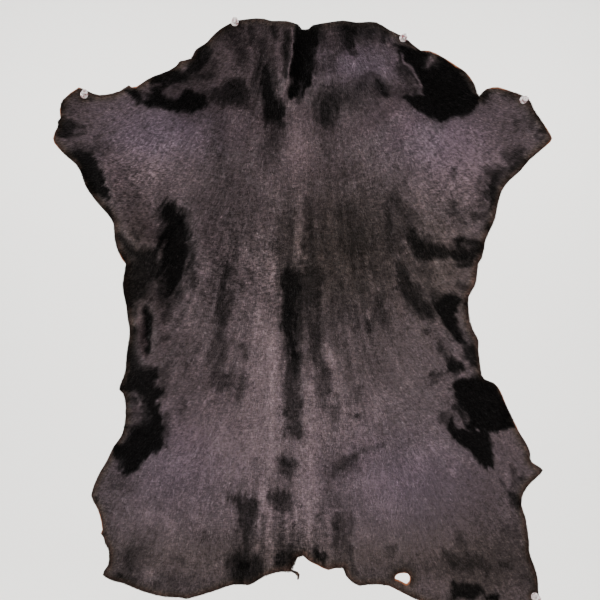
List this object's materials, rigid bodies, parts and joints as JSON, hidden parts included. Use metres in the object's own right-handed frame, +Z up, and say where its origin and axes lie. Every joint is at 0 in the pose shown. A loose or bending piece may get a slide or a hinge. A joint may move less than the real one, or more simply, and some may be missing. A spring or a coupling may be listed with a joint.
{
  "type": "leather hide with push pins",
  "caption": "Small black hair-on hide, cut open and hung face-on to a wall by clear push pins, with slack folds between the pins and a torn hole in one hind leg.",
  "frame": {"origin": "on the wall face, at the middle of the neck edge, where the spine line meets the notch between the neck folds", "axes": "+Z up along the spine towards the neck, +Y from the hair side into the wall, +X to the right as seen from the hair side"},
  "size_m": [0.6194, 0.0489, 0.7375],
  "materials": {
    "black_hair_coat": "tanned skin with short sleek black hair lying flat",
    "clear_plastic": "clear moulded plastic, polished",
    "pin_steel": "drawn steel wire, nickel bright"
  },
  "bodies": {
    "root": {"hide": "black_hair_coat", "push_pin_left_foreleg_head": "clear_plastic", "push_pin_left_foreleg_needle": "pin_steel", "push_pin_neck_left_head": "clear_plastic", "push_pin_neck_left_needle": "pin_steel", "push_pin_neck_right_head": "clear_plastic", "push_pin_neck_right_needle": "pin_steel", "push_pin_right_foreleg_head": "clear_plastic", "push_pin_right_foreleg_needle": "pin_steel", "push_pin_right_hind_leg_head": "clear_plastic", "push_pin_right_hind_leg_needle": "pin_steel"}
  },
  "joints": []
}
